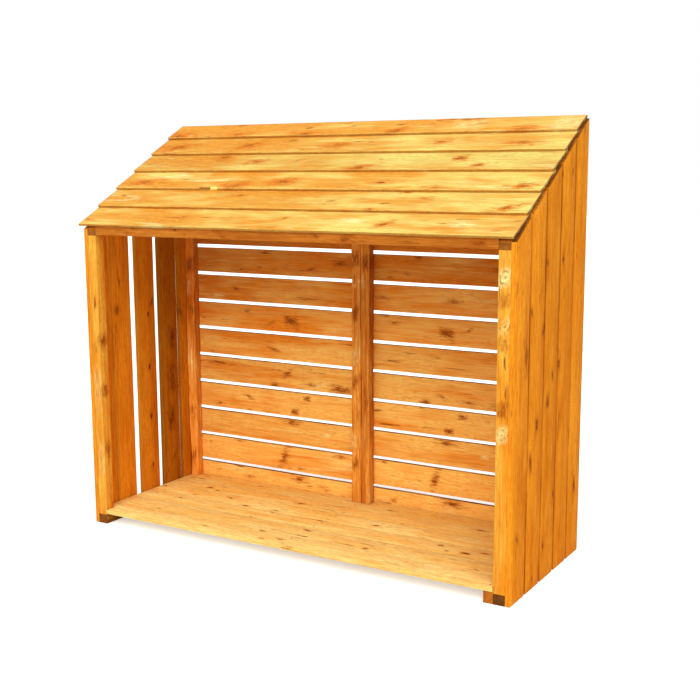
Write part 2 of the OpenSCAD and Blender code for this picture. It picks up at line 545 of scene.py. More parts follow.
def knot_figure(nodes, given):
    """A knot, the flame of deep wood about it and the grain that flows round it."""
    smallest = 0.001
    grain = given["Grain"]
    at, side, radius = nodes.split(given["Knot"])
    dark, flame, lean = nodes.split(given["Knot Look"])
    room, through, square = nodes.split(given["Knot Room"])
    away = (grain - nodes.join(at, side, through)) * nodes.join(1.0, 1.0, square)
    along, across, _ = nodes.split(away)
    present = radius.reckon("GREATER_THAN", smallest) * nodes.smooth(abs(along), room, room * 0.4)
    inputs = {"Vector": away, "Angle": lean * -1.0}
    turned = nodes.out(nodes.add("ShaderNodeVectorRotate", inputs, rotation_type="Z_AXIS"))
    radii = turned / radius.at_least(smallest)

    def distance(stretch):
        shrunk = radii * (1 / stretch, 1.0, 1.0)
        return nodes.out(nodes.add("ShaderNodeVectorMath", {0: shrunk}, operation="LENGTH"), "Value")

    def ragged(value, scale, reach):
        return (nodes.noise(grain * scale, detail=3.0, roughness=0.6) - 0.5) * reach + value

    # The heart is broken into strokes, or is an open eye: a worn ring about a dark middle
    core = ragged(distance(1.9), (100, 190, 190), 4.5)
    strokes = nodes.noise(grain * (30, 190, 190), roughness=0.6)
    strokes = nodes.smooth(strokes, 0.38, 0.58) * 0.7 + 0.3
    plain = nodes.smooth(core, 1.2, 0.7) * strokes
    ring = ragged(distance(1.4), (40, 70, 70), 1.0)
    rim = nodes.smooth(abs(ring - 1.2), 0.45, 0.0)
    worn = nodes.smooth(nodes.noise(grain * (45, 45, 45)), 0.42, 0.62)
    eye = (rim * worn).at_least(nodes.smooth(ring, 0.45, 0.1))
    heart = (eye - plain) * dark.reckon("LESS_THAN", 0.0) + plain
    # The flame is a fan along the grain and a halo about the heart
    spread = ragged(distance(3.6), (18, 110, 110), 10.0)
    fan = nodes.smooth(spread, 3.6, 1.0) * present * flame * strokes
    halo = nodes.smooth(core, 2.2, 0.9) * dark * 0.75
    bend = across * present / (distance(2.8) ** 4.0 + 1.0)
    return {"Grain": grain - nodes.join(0.0, bend, 0.0), "Core": heart * abs(dark), "Flame": fan + halo}


def growth_rings(nodes, given):
    """Growth rings cut by the saw, with the streaks, sap wood, blotches, cracks and fibres along them."""
    spacing, wander = 0.0045, 0.02
    grain, seed = given["Grain"], given["Seed"]
    x, y, z = nodes.split(grain)

    def field(scale, offset):
        moved = seed * 1.7 + offset
        return grain * scale + nodes.join(moved, seed, moved)

    def swing(rate, reach):
        return (seed * rate).reckon("SINE") * reach

    # The tree's heart lies beside the board, at another place for each board
    sway = (nodes.noise(field((1.1, 6.0, 6.0), 0.0)) - 0.5) * wander
    side = (y + swing(12.9, 0.05)) ** 2.0
    deep = (z + (swing(7.3, 0.03) + 0.055)) ** 2.0
    radius = (side + deep).reckon("SQRT") + sway
    ring = (radius / spacing).reckon("FRACT")

    def course(along, finer, offset=0.0):
        moved = seed + offset
        return nodes.join(x * along + moved, radius * (given["Streak Scale"] * finer), moved)

    broad = nodes.noise(course(2.4, 1.0), detail=3.0, roughness=0.6)
    fine = nodes.noise(course(4.5, 3.7), roughness=0.6)
    sap = nodes.noise(course(3.2, 1.9, 40.0), detail=3.0, roughness=0.6)
    split = nodes.noise(course(0.8, 2.0, 70.0), detail=1.0)
    split_open = nodes.noise(field((9.0, 40.0, 40.0), 83.0))
    return {
        "Late Wood": nodes.smooth(ring, 0.3, 0.9) * nodes.smooth(ring, 1.0, 0.94),
        "Streak": broad * 0.62 + fine * 0.38,
        "Sap": nodes.smooth(sap, 0.6, 0.74),
        "Blotch": nodes.noise(field((3.0, 11.0, 11.0), 31.0), detail=3.0, roughness=0.6),
        "Fleck": nodes.noise(field((45.0, 140.0, 140.0), 47.0), detail=3.0, roughness=0.7),
        "Fibre": nodes.noise(field((14.0, 300.0, 300.0), 11.0), detail=1.0),
        "Crack": nodes.smooth(abs(split - 0.5), 0.03, 0.006) * nodes.smooth(split_open, 0.6, 0.7)}


def dipped_colour(nodes, given):
    """The colour that the dip gives, deeper in late wood and knots, darkest on sawn ends and on faces with
    painted shade in the end colour.
    """
    fleck, blotch = given["Fleck"] - 0.5, given["Blotch"] - 0.5
    figure = (given["Streak"] - 0.5) * 4.5 + (given["Late Wood"] - 0.3) * 0.25 + blotch * 2.8 + fleck * 2.2
    depth = figure * given["Contrast"] + 0.45 + given["Warmth"] - given["Bleach"]
    # Arrises turn paler, partly from wear and partly as a painted highlight where edges catch the light
    worn = given["Arris"] * nodes.smooth(given["Blotch"], 0.3, 0.65)
    shade = nodes.mix(depth, given["Pale Colour"], given["Deep Colour"])
    for share, laid in (
            (given["Sap"].at_least(given["Flame"] * -1.0), "Sap Colour"),
            (given["Flame"].at_least(given["Crack"] * 0.8), "Flame Colour"),
            (given["Core"].at_least(given["Crack"] * 0.5), "Knot Colour"),
            (worn * 0.6, "Pale Colour"),
            # The end mark covers sawn ends and painted shade on edges and sides
            (given["End"] * (fleck * 2.0 + blotch * 2.5 + 0.9), "End Colour")):
        shade = nodes.mix(share, shade, given[laid])
    grit = ((fleck + (given["Fibre"] - 0.5) * 0.6) * given["Grit"] + 1.0).at_least(0.2)
    warm = [grit ** power * given["Tone"] for power in (0.5, 1.1, 1.5)]
    return {
        "Colour": nodes.mix(1.0, shade, nodes.join(*warm), blend="MULTIPLY"),
        "Height": given["Late Wood"] * 0.5 + given["Fibre"] + given["Fleck"] + given["Core"] * 0.8}


# Materials

def new_material(name):
    """A material, its nodes and its shader."""
    material = bpy.data.materials.new(name)
    material.use_nodes = True
    return material, Nodes(material.node_tree), material.node_tree.nodes["Principled BSDF"]


def dipped_wood(name, kind, flame="orange_flame", streak=60.0, contrast=0.5, grit=1.4, sap=0.0, paler_along=0.0,
                roughness=0.75, gloss=0.06, relief=0.0006):
    """A dipped softwood with the colours of its kind and its own figure, paler towards its far end."""
    bump_strength, rough_spread = 0.6, 0.24
    if name in bpy.data.materials:
        return bpy.data.materials[name]
    material, nodes, shader = new_material(name)
    dip = stain()
    marks = nodes.effect("Timber Marks", timber_marks, {})
    knot = nodes.effect("Knot", knot_figure, {label: marks[label] for label in KNOT_MARKS})
    rings = nodes.effect("Growth Rings", growth_rings, {
        "Grain": knot["Grain"], "Seed": marks["Seed"], "Streak Scale": streak})
    along, _, _ = nodes.split(marks["Grain"])
    finish = nodes.effect("Dipped Colour", dipped_colour, {
        **{label: rings[label] for label in ("Late Wood", "Streak", "Blotch", "Fleck", "Fibre", "Crack")},
        **{label: marks[label] for label in ("Tone", "Warmth", "End", "Arris")},
        **{label: knot[label] for label in ("Core", "Flame")},
        "Sap": rings["Sap"] * sap, "Bleach": along * paler_along, "Contrast": contrast, "Grit": grit,
        "Pale Colour": getattr(dip, f"{kind}_pale"), "Deep Colour": getattr(dip, f"{kind}_deep"),
        "Sap Colour": dip.sap, "Flame Colour": getattr(dip, flame), "Knot Colour": dip.knot,
        "End Colour": dip.end_grain_and_shade})
    bump = nodes.add("ShaderNodeBump", {
        "Height": finish["Height"], "Strength": bump_strength, "Distance": relief})
    nodes.fill(shader, {
        "Base Color": finish["Colour"], "Roughness": (rings["Blotch"] - 0.5) * rough_spread + roughness,
        "Specular IOR Level": gloss, "Normal": nodes.out(bump)})
    return material


def roof_wood():
    """Golden roof boards, paler to the right: painted light, for the brighter light and sheen on the roof's
    right end.
    """
    return dipped_wood(
        "golden_roof", "roof", flame="golden_flame", streak=24.0, contrast=0.85, grit=1.3, sap=0.7,
        paler_along=0.36, roughness=0.65, gloss=0.12)


def side_wood():
    """Orange side boards, paler to the top."""
    return dipped_wood("orange_sides", "side", contrast=0.7, paler_along=0.2, gloss=0.02)


def post_wood():
    """Planed front posts with a lively figure, paler to the top."""
    return dipped_wood("planed_posts", "post", streak=55.0, contrast=1.05, sap=0.3, paler_along=0.2)


def frame_wood():
    """Rough studs and back posts, paler to the top: painted light against the shade under the roof."""
    return dipped_wood(
        "rough_studs", "frame", streak=75.0, contrast=1.0, grit=1.8, sap=0.75, paler_along=0.1, relief=0.0015)


def rail_wood():
    """Shaded rails under the roof, and the floor bearers."""
    return dipped_wood("shaded_rails", "rail", contrast=0.7)


def slat_wood():
    """Back slats with a broad figure."""
    return dipped_wood("back_slats", "slat", streak=42.0, contrast=0.95, grit=1.2, sap=0.4)


def floor_wood():
    """Golden floor boards."""
    return dipped_wood("golden_floor", "floor", streak=75.0, contrast=0.7, sap=0.5, gloss=0.1)


def foot_wood():
    """Dark bottom rails."""
    return dipped_wood("dark_feet", "foot", contrast=0.9, grit=3.0)


def nail_metal():
    """Dulled zinc, with a fine mottle."""
    mottle_scale, dulling = (700, 700, 700), 0.5
    material, nodes, shader = new_material("dull_zinc")
    place = nodes.out(nodes.add("ShaderNodeTexCoord"), "Object")
    mottle = nodes.noise(place * mottle_scale)
    nodes.fill(shader, {
        "Base Color": nodes.mix(mottle, stain().nail, [share * dulling for share in stain().nail]),
        "Roughness": mottle * 0.3 + 0.4, "Metallic": 0.6})
    return material


# Operators

class LOGSTORE_OT_roof_boards(bpy.types.Operator):
    """Work the six lapped roof boards, with ragged butts, uneven ends and one chip"""

    bl_idname = "log_store.roof_boards"
    bl_label = "Roof boards"

    cut_step = 0.03
    scattered = {"count": 1, "radius": 0.007}
    warmth = (0.06, 0.12, 0.04, 0.1, 0.08, 0.6)
    butt_shade = 0.7
    # Swings of the ragged edge along a metre, and the length over which an end is uneven
    rag_rate, end_reach = 9.0, 0.1
    # The chip along the store, its cuts, the fresh wood beside it and how far up the board both reach
    chipped = 3
    chip_from, chip_to, fresh_to = -0.485, -0.435, -0.40
    chip_cuts, chip_step = 18, 0.005
    chip_up, fresh_up = 0.004, 0.012
    chip_rate = 90.0
    # Tone and warmth of the broken face, darker in part as painted shade in the notch, and of the fresh wood
    broken, fresh = (0.9, 1.0), (1.3, -1.0)
    broken_end = 0.6

    # Place along the store, height over the board's lower edge, radius, darkness, flame and lean
    chosen = {
        1: ((-0.44, 0.072, 0.005, 0.5, 0.4, 0.2), (0.01, 0.08, 0.005, 0.5, 0.4, 0.3),
            (0.29, 0.065, 0.007, 0.0, -0.9, 0.0), (0.42, 0.052, 0.007, 0.6, 0.8, 0.4),
            (0.70, 0.069, 0.007, 0.0, -0.9, 0.0), (0.84, 0.04, 0.006, 0.3, 0.5, 0.3)),
        2: ((-0.27, 0.095, 0.005, 0.6, 0.5, 0.0), (0.13, 0.036, 0.005, 0.2, 0.5, 0.2),
            (0.33, 0.006, 0.005, 0.9, 0.3, 0.0), (0.51, 0.087, 0.006, 0.2, 0.7, 0.0),
            (0.82, 0.03, 0.008, 0.4, 0.9, 0.4)),
        3: ((-0.79, 0.046, 0.011, 0.6, 1.0, 0.1), (-0.33, 0.02, 0.013, 0.3, 1.0, 0.3),
            (-0.13, 0.056, 0.013, 0.5, 1.0, 0.2), (0.29, 0.05, 0.006, 0.8, 0.6, 0.1),
            (0.83, 0.03, 0.008, 0.5, 1.0, 0.1)),
        4: ((-0.51, 0.11, 0.008, 0.5, 0.8, 0.0), (-0.33, 0.071, 0.009, 0.4, 0.8, 0.1),
            (0.15, 0.015, 0.010, 0.6, 1.0, 0.3), (0.53, 0.085, 0.008, 0.7, 1.0, 0.1),
            (0.62, 0.031, 0.006, 0.6, 0.8, 0.2)),
        5: ((-0.80, 0.057, 0.014, 0.5, 1.0, 0.2), (-0.44, 0.066, 0.013, 0.5, 1.0, 0.3),
            (-0.02, 0.056, 0.012, 0.4, 0.9, 0.2), (0.41, 0.067, 0.007, 0.5, 0.8, 0.0),
            (0.73, 0.051, 0.008, 0.4, 1.0, 0.0)),
        6: ((-0.86, 0.011, 0.014, 0.6, 1.0, 0.1), (-0.55, 0.02, 0.009, 0.3, 0.8, 0.2),
            (-0.21, 0.01, 0.009, 0.5, 0.9, 0.0), (0.18, 0.014, 0.012, 0.6, 1.0, 0.3),
            (0.48, 0.06, 0.016, 0.0, -0.6), (0.70, 0.012, 0.011, 0.3, 1.0, 0.2),
            (0.86, 0.055, 0.02, 0.0, -0.8)),
    }

    def execute(self, context):
        for number, warmth in enumerate(self.warmth, start=1):
            node = f"roof_board_{number}"
            slope = up_the_slope(node)
            [stick] = sticks_of(node, ALONG_X, slope)
            stick.rough_out(timber().butt_arris, self.cut_step, self.cut_step)
            if number == self.chipped:
                stick.saw(0, [self.chip_from + self.chip_step * i for i in range(self.chip_cuts)])
                stick.saw(1, [self.fresh_up - stick.half.y])
            stick.add_knots(self.knots(stick, number), **self.scattered)
            stick.mark(warmth=warmth)
            # The butts take the deep dip and painted shade, for the shadow along each lap
            stick.deepen_and_shade(-slope, self.butt_shade)
            self.rag(stick)
            if number == self.chipped:
                self.chip(stick, slope)
            make_piece(node, [stick], roof_wood())
        return {"FINISHED"}

    def knots(self, stick, number):
        """The board's chosen knots, with their heights taken from its lower edge."""
        return [Knot(at, up - stick.half.y, radius, *look) for at, up, radius, *look in self.chosen[number]]

    def rag(self, stick):
        """Make the lower edge ragged and the ends uneven."""
        seed = stick.random.uniform(0, 100)
        reach = timber().end_wander
        ends = [stick.random.uniform(-reach, 0), stick.random.uniform(-reach, 0)]

        def shift(p):
            butt = max(0.0, -p.y / stick.half.y)
            rag = timber().butt_wander * butt ** 4 * noise.noise((p.x * self.rag_rate, seed, 0.3))
            right = max(0.0, 1 - (stick.high.x - p.x) / self.end_reach)
            left = max(0.0, 1 - (p.x - stick.low.x) / self.end_reach)
            return right * ends[1] - left * ends[0], abs(rag), 0.0

        stick.move(shift)

    def chip(self, stick, slope):
        """Break a chip out of the lower edge, its broken face darkened as broken grain and as painted shade
        in the notch, with fresh pale wood beside it.
        """
        end = stick.mesh.faces.layers.float["end"]
        board = stick.mesh.faces.layers.float_vector["board"]
        for face in stick.mesh.faces:
            at = stick.place(face.calc_center_median())
            if at.y > self.fresh_up - stick.half.y:
                continue
            if self.chip_from < at.x < self.chip_to and face.normal.dot(-slope) > stick.edge_on:
                face[end] = self.broken_end
                face[board] = face[board].x, *self.broken
            elif self.chip_to < at.x < self.fresh_to:
                face[board] = face[board].x, *self.fresh

        def shift(p):
            inside = self.chip_from < p.x < self.chip_to and p.y < self.chip_up - stick.half.y
            rough = noise.noise((p.x * self.chip_rate, 4.2, p.z * self.chip_rate * 2 / 3))
            upper = p.z > -stick.half.z / 2
            return 0.0, timber().chip * (0.7 + 0.6 * rough) * inside * upper, 0.0

        stick.move(shift)


class LOGSTORE_OT_side_boards(bpy.types.Operator):
    """Work the five upright boards of each side"""

    bl_idname = "log_store.side_boards"
    bl_label = "Side boards"

    # Height, place from the middle to the back, radius, darkness, flame and lean
    chosen = {
        "left": (
            (0.811, 0.018, 0.004, 1.0, 0.3), (0.589, 0.016, 0.004, 1.0, 0.3), (0.376, 0.018, 0.005, 1.0, 0.3),
            (0.165, 0.020, 0.004, 1.0, 0.3), (0.85, -0.17, 0.007, 0.8, 0.6), (0.70, 0.17, 0.008, 0.7, 0.9),
            (0.52, 0.16, 0.009, 0.2, 1.0), (0.34, 0.15, 0.009, 0.3, 1.0)),
        "right": (
            (1.104, -0.048, 0.006, 0.9, 0.5), (1.106, 0.102, 0.006, 0.9, 0.5),
            (0.952, -0.180, 0.005, 0.7, 0.4), (0.873, -0.074, 0.006, 0.8, 0.5),
            (0.814, -0.219, 0.008, 0.5, 0.9), (0.743, 0.085, 0.006, 0.7, 0.5),
            (0.712, 0.024, 0.006, 0.8, 0.5), (0.633, -0.018, 0.007, 0.4, 1.0),
            (0.566, -0.116, 0.007, 0.9, 0.6), (0.285, 0.055, 0.005, 0.7, 0.4),
            (0.261, 0.274, 0.008, 0.9, 0.8), (0.125, -0.031, 0.006, 0.8, 0.5),
            (0.038, -0.129, 0.004, 0.7, 0.2)),
    }
    scattered = {"count": 1, "radius": 0.006}
    warmth = 0.13
    shaded_edge = {"left": 0.2, "right": 0.45}
    # The left side's back boards are darker in tone: painted shade at the back left corner, where less light
    # reaches
    tone = {"left": (-0.05, -0.06, -0.2, -0.5, -0.28), "right": (0.0, 0.0, 0.0, -0.01, -0.02)}

    def execute(self, context):
        for side in ("left", "right"):
            for number, tone in enumerate(self.tone[side], start=1):
                node = f"{side}_side_board_{number}"
                [stick] = sticks_of(node, ALONG_Z, ALONG_Y)
                stick.rough_out(timber().arris, CUT_STEP)
                stick.add_knots(stick.own(self.chosen[side]), **self.scattered)
                stick.mark(tone, self.warmth)
                if number > 1:
                    stick.paint_shade(-ALONG_Y, self.shaded_edge[side])
                stick.weather(timber().bow, timber().wander)
                make_piece(node, [stick], side_wood())
        return {"FINISHED"}


class LOGSTORE_OT_front_posts(bpy.types.Operator):
    """Work the two planed front posts"""

    bl_idname = "log_store.front_posts"
    bl_label = "Front posts"

    # Height, place across the store, radius, darkness (an open eye below 0), flame (pale below 0) and lean
    chosen = {
        "left": (
            (0.742, -0.831, 0.009, 0.3, 0.9, 0.6), (0.545, -0.831, 0.008, 0.3, 0.9, 0.5),
            (0.298, -0.831, 0.007, 0.2, 0.9, 0.3)),
        "right": (
            (1.075, 0.874, 0.013, -0.6, -0.35, 0.7), (1.0, 0.872, 0.009, 0.1, 0.6, 0.5),
            (0.92, 0.875, 0.011, -0.6, 0.3, 0.7), (0.862, 0.872, 0.008, 0.1, 0.6, -0.4),
            (0.652, 0.873, 0.006, 0.3, 1.0, 0.2), (0.571, 0.871, 0.010, -0.55, -0.3, 0.3)),
    }
    scattered = {"count": 2, "radius": 0.007, "square": True}
    warmth = 0.15
    wander_share = 0.5

    def execute(self, context):
        for side in ("left", "right"):
            node = f"{side}_front_post"
            [stick] = sticks_of(node, ALONG_Z, ALONG_X)
            stick.rough_out(timber().arris, CUT_STEP)
            depth = -stick.half.z if side == "right" else 0.0
            seen = [knot._replace(through=depth) for knot in stick.own(self.chosen[side])]
            stick.add_knots(seen, **self.scattered)
            stick.mark(warmth=self.warmth)
            stick.weather(0.0, timber().wander * self.wander_share)
            make_piece(node, [stick], post_wood())
        return {"FINISHED"}


class LOGSTORE_OT_rough_posts(bpy.types.Operator):
    """Work the rough back posts and middle studs, with torn grain and bark edges"""

    bl_idname = "log_store.rough_posts"
    bl_label = "Back posts and studs"

    # Height, place across the store, radius, darkness, flame (pale below 0) and lean
    chosen = (
        (1.0, -0.852, 0.014, 0.6, 0.8, 0.6), (0.9, -0.865, 0.007, 0.0, -0.45),
        (0.62, -0.865, 0.006, 0.0, -0.45), (0.36, -0.855, 0.006, 0.4, 0.8, -0.1),
        (1.06, -0.01, 0.012, 0.4, 0.7), (0.95, -0.022, 0.008, 0.0, -0.45, 0.3),
        (0.84, -0.012, 0.009, 0.5, 0.8, 0.2), (0.66, -0.022, 0.007, 0.0, -0.45, 0.3),
        (0.56, -0.012, 0.006, 0.4, 0.8, 0.35), (0.32, -0.022, 0.006, 0.0, -0.45, 0.3),
        (0.22, -0.01, 0.006, 0.4, 0.8, 0.4), (1.046, 0.045, 0.013, 0.6, 0.8),
        (0.97, 0.012, 0.008, 0.0, -0.45), (0.48, 0.035, 0.005, 0.3, 0.7))
    cut_steps = (0.014, 0.007, 0.007)
    scattered = {"count": 2, "radius": 0.008, "dark": 0.45, "square": True}
    # Tone and warmth
    looks = {
        "left_back_post": (0.25, -0.35), "right_back_post": (0.0, 0.0),
        "left_middle_stud": (0.0, 0.0), "right_middle_stud": (0.0, 0.0)}
    shaded_side = 0.35
    # How common bark is, and swings along a metre of the bark, of the torn grain and across that
    bark_share = 0.15
    bark_rate, tear_rate, tear_fineness = 3.5, 14.0, 160.0
    # How near a face counts as on it, and the width of the border beside bark that takes the pale arris
    # colour, partly wear and partly painted highlight
    skin, border = 0.001, 0.002

    def execute(self, context):
        for node, look in self.looks.items():
            [stick] = sticks_of(node, ALONG_Z, ALONG_X)
            stick.rough_out(timber().rough_arris, *self.cut_steps)
            seen = [knot._replace(through=-stick.half.z) for knot in stick.own(self.chosen)]
            stick.add_knots(seen, **self.scattered)
            stick.mark(*look)
            stick.paint_shade(ALONG_X, self.shaded_side)
            self.tear(stick)
            make_piece(node, [stick], frame_wood())
        return {"FINISHED"}

    def tear(self, stick):
        """Tear the grain and leave a bark edge on the long arrises."""
        seed = stick.random.uniform(0, 100)
        torn, wane = timber().torn, timber().wane

        def bark(p):
            growth = noise.noise((p.x * self.bark_rate, seed + math.copysign(5, p.y), 2.2))
            inward = stick.half.y - abs(p.y) + stick.half.z - abs(p.z)
            return wane * max(0.0, self.bark_share + growth) - inward

        def shift(p):
            fine = self.tear_fineness
            pit = max(0.0, noise.noise((p.x * self.tear_rate, p.y * fine + seed, p.z * fine)))
            move = [0.0, 0.0, 0.0]
            for axis in (1, 2):
                if stick.half[axis] - abs(p[axis]) < self.skin:
                    move[axis] -= math.copysign(torn * pit, p[axis])
                move[axis] -= math.copysign(max(0.0, bark(p)) / 2, p[axis])
            return move

        arris = stick.mesh.faces.layers.float["arris"]
        for face in stick.mesh.faces:
            if bark(stick.place(face.calc_center_median())) > -self.border:
                face[arris] = 1.0
        stick.move(shift)


class LOGSTORE_OT_back_slats(bpy.types.Operator):
    """Work the slats of both back panels"""

    bl_idname = "log_store.back_slats"
    bl_label = "Back slats"

    # Place across the store, height, radius, darkness, flame (pale below 0) and lean
    chosen = (
        (-0.10, 1.033, 0.0072, 0.6, 0.7), (-0.473, 1.066, 0.0043, 0.24, 0.7),
        (-0.60, 0.987, 0.0029, 0.6, 0.3), (-0.633, 0.904, 0.0043, 0.48, 0.6),
        (-0.72, 0.872, 0.0036, 0.0, -0.8), (-0.347, 0.781, 0.0094, 0.6, 0.9, -0.2),
        (-0.577, 0.808, 0.0036, 0.36, 0.5), (-0.438, 0.500, 0.005, 0.42, 0.8),
        (-0.255, 0.517, 0.0036, 0.3, 0.6), (-0.108, 0.509, 0.0086, 0.48, 0.9),
        (-0.275, 0.457, 0.005, 0.48, 0.7), (-0.728, 0.393, 0.0036, 0.48, 0.4),
        (-0.335, 0.395, 0.0058, 0.54, 0.7), (-0.348, 0.347, 0.0058, 0.54, 0.7),
        (-0.18, 0.31, 0.0029, 0.0, -0.7), (-0.623, 0.233, 0.0036, 0.48, 0.4),
        (-0.392, 0.19, 0.0072, 0.48, 0.8, 1.2), (-0.316, 0.101, 0.0065, 0.6, 0.7),
        (-0.578, 0.077, 0.0043, 0.42, 0.5))
    # From a knot of the left panel to its twin in the right one
    twin_at = 0.72
    scattered = {"count": 1, "radius": 0.004, "dark": 0.4}
    shaded_edge = 0.9
    # From the bottom up the slats mostly grow deeper in colour, and those near the top darker in tone:
    # painted light low down and painted shade under the roof
    tone = (0.03, 0.03, 0.02, 0.03, 0.04, 0.04, 0.06, 0.02, -0.17, -0.3, -0.2, -0.1, 0.0)
    warmth = (-0.7, -0.55, -0.5, -0.35, -0.25, -0.15, -0.1, 0.05, 0.5, 0.6, 0.4, 0.2, 0.1)

    def execute(self, context):
        for side in ("left", "right"):
            node = f"{side}_back_slats"
            sticks = sticks_of(node, ALONG_X, ALONG_Z)
            for stick, tone, warmth in zip(sticks, self.tone, self.warmth):
                stick.rough_out(timber().arris, CUT_STEP)
                seen = stick.own(self.chosen, self.twin_at if side == "right" else 0.0)
                stick.add_knots(seen, **self.scattered)
                stick.mark(tone, warmth)
                stick.paint_shade(ALONG_Z, self.shaded_edge)
                stick.weather(timber().bow, timber().wander)
            make_piece(node, sticks, slat_wood())
        return {"FINISHED"}


class LOGSTORE_OT_floor_boards(bpy.types.Operator):
    """Work the six floor boards"""

    bl_idname = "log_store.floor_boards"
    bl_label = "Floor boards"

    # Place across the store, place from the middle to the back, radius, darkness and flame
    chosen = (
        (-0.849, 0.067, 0.0037, 1.0, 0.5), (-0.66, 0.14, 0.0056, 0.8, 0.6),
        (-0.679, -0.04, 0.0031, 0.9, 0.4), (-0.377, 0.005, 0.0043, 1.0, 0.5),
        (-0.233, 0.01, 0.0037, 0.9, 0.5), (-0.198, 0.139, 0.0043, 0.9, 0.6),
        (-0.135, -0.22, 0.0037, 0.9, 0.5), (-0.009, -0.008, 0.005, 1.0, 0.5),
        (0.167, 0.239, 0.0037, 1.0, 0.5), (0.207, 0.045, 0.0043, 1.0, 0.5),
        (0.58, 0.19, 0.0037, 0.9, 0.5), (0.637, -0.069, 0.0056, 1.0, 0.6),
        (0.303, -0.201, 0.0043, 0.9, 0.5), (0.523, -0.037, 0.0037, 0.8, 0.5))
    # Towards the back the floor boards grow darker and deeper in colour: painted shade under the roof
    tone = (0.05, 0.04, 0.02, -0.01, -0.06, -0.11)
    warmth = (0.0, 0.0, 0.0, 0.05, 0.15, 0.35)
    scattered = {"count": 4, "radius": 0.0025, "dark": 1.0}
    shaded_edge, front_edge = 0.8, 0.1
    wander_share = 0.4

    def execute(self, context):
        for number, look in enumerate(zip(self.tone, self.warmth), start=1):
            node = f"floor_board_{number}"
            [stick] = sticks_of(node, ALONG_X, ALONG_Y)
            stick.rough_out(timber().arris, CUT_STEP)
            stick.add_knots(stick.own(self.chosen), **self.scattered)
            stick.mark(*look)
            stick.paint_shade(ALONG_Y, self.shaded_edge)
            stick.paint_shade(-ALONG_Y, self.shaded_edge if number > 1 else self.front_edge)
            stick.weather(0.0, timber().wander * self.wander_share)
            make_piece(node, [stick], floor_wood())
        return {"FINISHED"}


class LOGSTORE_OT_rails(bpy.types.Operator):
    """Work the bottom rails, the bearers, the top rails, the front rail and the rafter"""

    bl_idname = "log_store.rails"
    bl_label = "Rails and bearers"

    # Place along the front rail, height, radius, darkness, flame and lean
    chosen = (
        (-0.438, 1.192, 0.004, 1.0, 0.5), (-0.227, 1.179, 0.006, 0.4, 1.0, -0.5),
        (0.296, 1.176, 0.007, 0.6, 1.0, 0.3), (0.79, 1.18, 0.008, 0.5, 1.0, 0.3))
    scattered = {"count": 3, "radius": 0.005}
    wander_share = 0.3
    bottom_tone = {"left_bottom_rail": 0.0, "right_bottom_rail": -0.17}
    bearer_end = 0.15

    def execute(self, context):
        for name, tone in self.bottom_tone.items():
            self.work(name, ALONG_Y, ALONG_X, foot_wood(), "foot_wood", tone=tone)
        for name in BEARERS:
            self.work(name, ALONG_Y, ALONG_X, rail_wood(), "foot_wood", sawn=self.bearer_end)
        self.work("front_rail", ALONG_X, ALONG_Z, rail_wood(), "frame_wood")
        rise = up_the_slope("left_top_rail")
        for name in ("left_top_rail", "right_top_rail", "middle_rafter"):
            self.work(name, rise, ALONG_X, rail_wood(), "frame_wood")
        return {"FINISHED"}

    def work(self, node, along, across, material, slot, sawn=0.9, tone=0.0):
        """Work one rail."""
        [stick] = sticks_of(node, along, across)
        stick.rough_out(timber().arris, CUT_STEP)
        stick.add_knots(stick.own(self.chosen) if node == "front_rail" else (), **self.scattered)
        stick.mark(tone, sawn=sawn)
        stick.weather(0.0, timber().wander * self.wander_share)
        make_piece(node, [stick], material)


